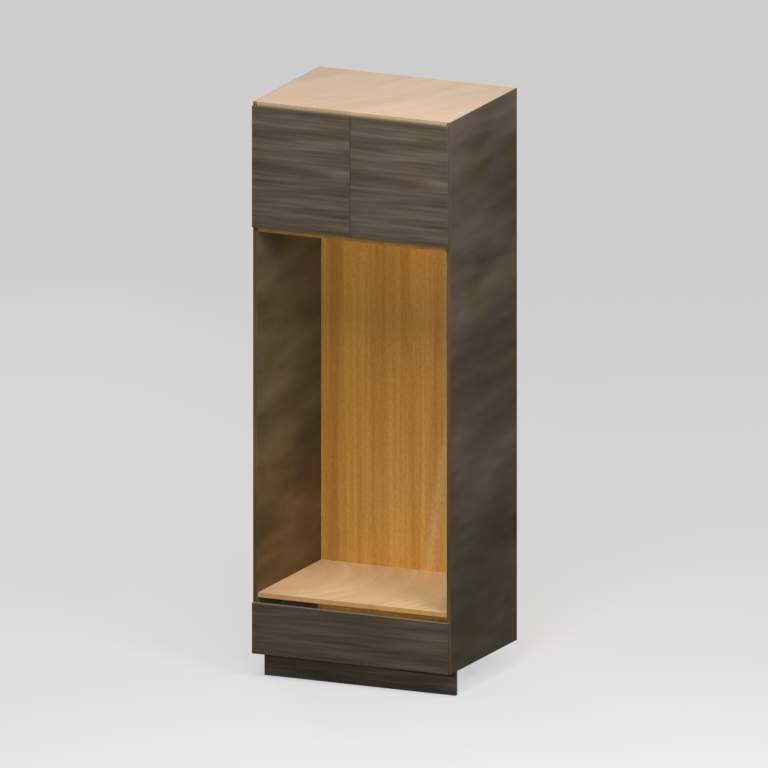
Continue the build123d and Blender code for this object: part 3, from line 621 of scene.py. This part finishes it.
# Finishes of the nodes whose figure starts in a place of its own, or that carry painted light or shade of
# their own
own_finishes = {
    "niche_floor": pale_wood("niche_floor_finish", (-0.56, 0.02), niche_shaded_tones, niche_shaded_edge_tones, True),
    "upper_deck": pale_wood("upper_deck_finish", (-0.9, 0.1), top_sheen_tones, deck_shaded_edge_tones),
    "drawer_back": golden_wood("drawer_back_finish", drawer_back_lit_tones, False),
    "side_left": side_laminate("side_left_finish", *left_side),
    "side_right": side_laminate("side_right_finish", *right_side),
}
for name in ("door_left", "door_right", "drawer_front"):
    low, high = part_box(name)
    # the drawer front takes the darker copy of the tones, painted shade
    tones = drawer_shaded_tones if name == "drawer_front" else front_tones
    own_finishes[name] = front_laminate(name + "_finish", (-low.x, -low.z, 0.0), tones)
for name, finish in own_finishes.items():
    nodes[name].material_slots[0].material = finish.material


# Screws with domed heads and a cross recess, each in the place and size of the plain one
screw_sides = 32
head_dome = ((0.42, 0.03), (0.66, 0.10), (0.84, 0.24), (0.95, 0.46), (1.0, 0.72), (1.0, 1.0))
thread_pitch = 0.55             # this and the next four in radii of the shank
thread_root = 0.72
last_root = 0.7
tip_radius = 0.12
plain_length = 1.4              # without thread, below the head and above the tip
thread_flank = 0.35             # of the pitch, from a crest down to the next root
cross_reach = 0.56              # this and the next in radii of the head
cross_width = 0.13
cross_depth = 0.7               # of the head's height
cross_levels = ((1.12, 0.3), (0.5, -1.0))   # share of the cross's size, and level in cross depths
recess_turn = 0.7               # radians from one screw's recess to the next one's
sharp_angle = radians(32)

# How a plain screw is read
weld_distance = 0.000001
tip_zone = 0.3                  # where the tip's end starts, in screw lengths from the middle
head_to_shank = 1.2             # least width of the head, in widths of the shank
measure_digits = 5


def lathe(profile, sides):
    """A closed turned shape about Z; profile runs from top pole to bottom pole as (radius, height)."""
    shape = bmesh.new()
    rings = []
    for radius, height in profile[1:-1]:
        angles = [2 * pi * step / sides for step in range(sides)]
        rings.append([shape.verts.new((radius * cos(a), radius * sin(a), height)) for a in angles])
    top, bottom = (shape.verts.new((0, 0, profile[end][1])) for end in (0, -1))
    for step in range(sides):
        after = (step + 1) % sides
        shape.faces.new((top, rings[0][step], rings[0][after]))
        for upper, lower in zip(rings, rings[1:]):
            shape.faces.new((upper[step], lower[step], lower[after], upper[after]))
        shape.faces.new((bottom, rings[-1][after], rings[-1][step]))
    return shape


def cross_cutter(reach, width, depth):
    """A tapered cross that stands in the head from above its top down to its depth."""
    shape = bmesh.new()
    corners = []
    for turn in range(4):
        for x, y in ((reach, -width), (reach, width), (width, width)):
            angle = turn * pi / 2
            corners.append((x * cos(angle) - y * sin(angle), x * sin(angle) + y * cos(angle)))
    levels = []
    for share, level in cross_levels:
        levels.append([shape.verts.new((x * share, y * share, depth * level)) for x, y in corners])
    shape.faces.new(levels[0])
    shape.faces.new(reversed(levels[1]))
    for step in range(len(corners)):
        after = (step + 1) % len(corners)
        shape.faces.new((levels[0][step], levels[1][step], levels[1][after], levels[0][after]))
    return shape


def to_object(name, shape):
    """A new object from a bmesh, which is used up."""
    bmesh.ops.recalc_face_normals(shape, faces=shape.faces)
    mesh = bpy.data.meshes.new(name)
    shape.to_mesh(mesh)
    shape.free()
    made = bpy.data.objects.new(name, mesh)
    bpy.context.scene.collection.objects.link(made)
    return made


def screw_template(head, head_height, shank, length):
    """One screw with the top of its head at the origin and its tip down -Z; head and shank are radii."""
    profile = [(0, 0)]
    for across, down in head_dome:
        profile.append((head * across, -head_height * down))
    level = -head_height - plain_length * shank
    profile += [(shank, -head_height), (shank, level)]
    pitch = thread_pitch * shank
    while level - pitch > -length + plain_length * shank:
        profile += [(shank * thread_root, level - pitch * thread_flank), (shank, level - pitch)]
        level -= pitch
    profile.append((shank * last_root, level - pitch * thread_flank))
    profile += [(shank * tip_radius, -length), (0, -length)]
    screw = to_object("screw_template", lathe(profile, screw_sides))
    cross = cross_cutter(cross_reach * head, cross_width * head, cross_depth * head_height)
    cutter = to_object("screw_cutter", cross)
    cut = screw.modifiers.new("recess", "BOOLEAN")
    cut.operation = "DIFFERENCE"
    cut.solver = "EXACT"
    cut.object = cutter
    bpy.context.view_layer.update()
    ready = bpy.data.meshes.new_from_object(screw.evaluated_get(bpy.context.evaluated_depsgraph_get()))
    bpy.data.objects.remove(screw)
    bpy.data.objects.remove(cutter)
    return ready


def solids_of(mesh):
    """The points of each separate solid of a mesh."""
    shape = bmesh.new()
    shape.from_mesh(mesh)
    bmesh.ops.remove_doubles(shape, verts=shape.verts, dist=weld_distance)
    seen = set()
    solids = []
    for first in shape.verts:
        if first in seen:
            continue
        seen.add(first)
        waiting = [first]
        points = []
        while waiting:
            vertex = waiting.pop()
            points.append(vertex.co.copy())
            for edge in vertex.link_edges:
                other = edge.other_vert(vertex)
                if other not in seen:
                    seen.add(other)
                    waiting.append(other)
        solids.append(points)
    shape.free()
    return solids


def screw_measures(points):
    """The top of the head, the way it faces, and head radius, head height, shank radius and length."""
    low = Vector([min(point[axis] for point in points) for axis in range(3)])
    high = Vector([max(point[axis] for point in points) for axis in range(3)])
    size = high - low
    axis = max(range(3), key=lambda each: size[each])
    length = size[axis]
    head = max(size[each] for each in range(3) if each != axis) / 2
    middle = (low + high) / 2
    spread = []
    for point in points:
        offset = point - middle
        along = offset[axis]
        offset[axis] = 0.0
        spread.append((along, offset.length))
    sign = 1.0 if max(spread, key=lambda each: each[1])[0] > 0 else -1.0
    tip = max(radius for along, radius in spread if sign * along < -length * tip_zone)
    seat = min(sign * along for along, radius in spread if radius > tip * head_to_shank)
    way = Vector((0, 0, 0))
    way[axis] = sign
    return middle + way * (length / 2), way, (head, length / 2 - seat, tip, length)


templates = {}
for name in sorted(nodes):
    if "screws" not in name:
        continue
    points, faces = [], []
    for number, solid in enumerate(solids_of(nodes[name].data)):
        top, way, measures = screw_measures(solid)
        key = tuple(round(value, measure_digits) for value in measures)
        if key not in templates:
            templates[key] = screw_template(*measures)
        turn = Matrix.Translation(top) @ way.to_track_quat("Z", "Y").to_matrix().to_4x4()
        turn = turn @ Matrix.Rotation(number * recess_turn, 4, "Z")
        start = len(points)
        points += [turn @ vertex.co for vertex in templates[key].vertices]
        faces += [[start + index for index in face.vertices] for face in templates[key].polygons]
    mesh = bpy.data.meshes.new("recessed_" + name)
    mesh.from_pydata(points, [], faces)
    mesh.validate()
    mesh.shade_smooth()
    mesh.set_sharp_from_angle(angle=sharp_angle)
    piece = bpy.data.objects.new("recessed_" + name, mesh)
    bpy.context.scene.collection.objects.link(piece)
    mesh.materials.append(nodes[name].material_slots[0].material)
    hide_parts(name)
    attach(piece, nodes[name]["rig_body"])
for mesh in templates.values():
    bpy.data.meshes.remove(mesh)


# Stage
def seen_directly(tree):
    """1 for rays from the camera and for those that metal and glass send on."""
    path = tree.nodes.new("ShaderNodeLightPath")
    seen_by = path.outputs["Is Camera Ray"]
    for ray in ("Is Glossy Ray", "Is Transmission Ray"):
        either = tree.nodes.new("ShaderNodeMath")
        either.operation = "MAXIMUM"
        tree.links.new(seen_by, either.inputs[0])
        tree.links.new(path.outputs[ray], either.inputs[1])
        seen_by = either.outputs[0]
    return seen_by


world = bpy.data.worlds.new("studio")
bpy.context.scene.world = world
world.use_nodes = True
tree = world.node_tree
background = tree.nodes["Background"]
choice = tree.nodes.new("ShaderNodeMix")
choice.data_type = "FLOAT"
tree.links.new(seen_directly(tree), choice.inputs[0])
choice.inputs[2].default_value = world_level    # sockets 2 and 3 of the node are those of its numbers
choice.inputs[3].default_value = seen_level
tree.links.new(choice.outputs[0], background.inputs["Strength"])
background.inputs["Color"].default_value = grey(1.0)

# The floor lights the cabinet as a plain grey, and is seen as a paler one that keeps its shadow
ground = Graph("floor_finish")
ground.surface.inputs["Base Color"].default_value = grey(floor_bounce)
ground.surface.inputs["Roughness"].default_value = 1.0
ground.surface.inputs["Specular IOR Level"].default_value = 0.0
seen = ground.node("ShaderNodeBsdfDiffuse")
seen.inputs["Color"].default_value = grey(floor_seen)
glow = ground.node("ShaderNodeEmission")
glow.inputs["Color"].default_value = grey(floor_glow)
pale = ground.node("ShaderNodeMixShader")
ground.feed(pale.inputs[1], seen.outputs[0])
ground.feed(pale.inputs[2], glow.outputs[0])
choose = ground.node("ShaderNodeMixShader")
ground.feed(choose.inputs[0], seen_directly(ground.tree))
ground.feed(choose.inputs[1], ground.surface.outputs[0])
ground.feed(choose.inputs[2], pale.outputs[0])
ground.feed(ground.output.inputs["Surface"], choose.outputs[0])
bpy.ops.mesh.primitive_circle_add(
    vertices=floor_sides, radius=floor_radius, fill_type="NGON", location=(0, 0, 0))
floor = bpy.context.object
floor.name = "floor"
floor.data.materials.append(ground.material)


# Lamps
def area_light(name, place, target, width, height, power, beam):
    """A soft rectangular lamp that faces a target and doesn't show itself."""
    data = bpy.data.lights.new(name, "AREA")
    data.shape = "RECTANGLE"
    data.size = width
    data.size_y = height
    data.energy = power
    data.spread = radians(beam)
    lamp = bpy.data.objects.new(name, data)
    bpy.context.scene.collection.objects.link(lamp)
    lamp.location = place
    lamp.rotation_mode = "QUATERNION"
    lamp.rotation_quaternion = (Vector(target) - Vector(place)).to_track_quat("-Z", "Y")
    lamp.visible_camera = False


for lamp in lamps:
    area_light(*lamp)

# Camera
camera_data = bpy.data.cameras.new("camera")
camera_data.type = "ORTHO"
camera_data.ortho_scale = view_width
camera = bpy.data.objects.new("camera", camera_data)
bpy.context.scene.collection.objects.link(camera)
flat = cos(view_elevation)
back = Vector((sin(view_azimuth) * flat, -cos(view_azimuth) * flat, sin(view_elevation)))
camera.location = (cad_box[0] + cad_box[1]) / 2 + back * view_distance
camera.rotation_mode = "QUATERNION"
camera.rotation_quaternion = (-back).to_track_quat("-Z", "Y")
bpy.context.scene.camera = camera
bpy.context.scene.view_settings.view_transform = "Standard"

bpy.context.view_layer.update()
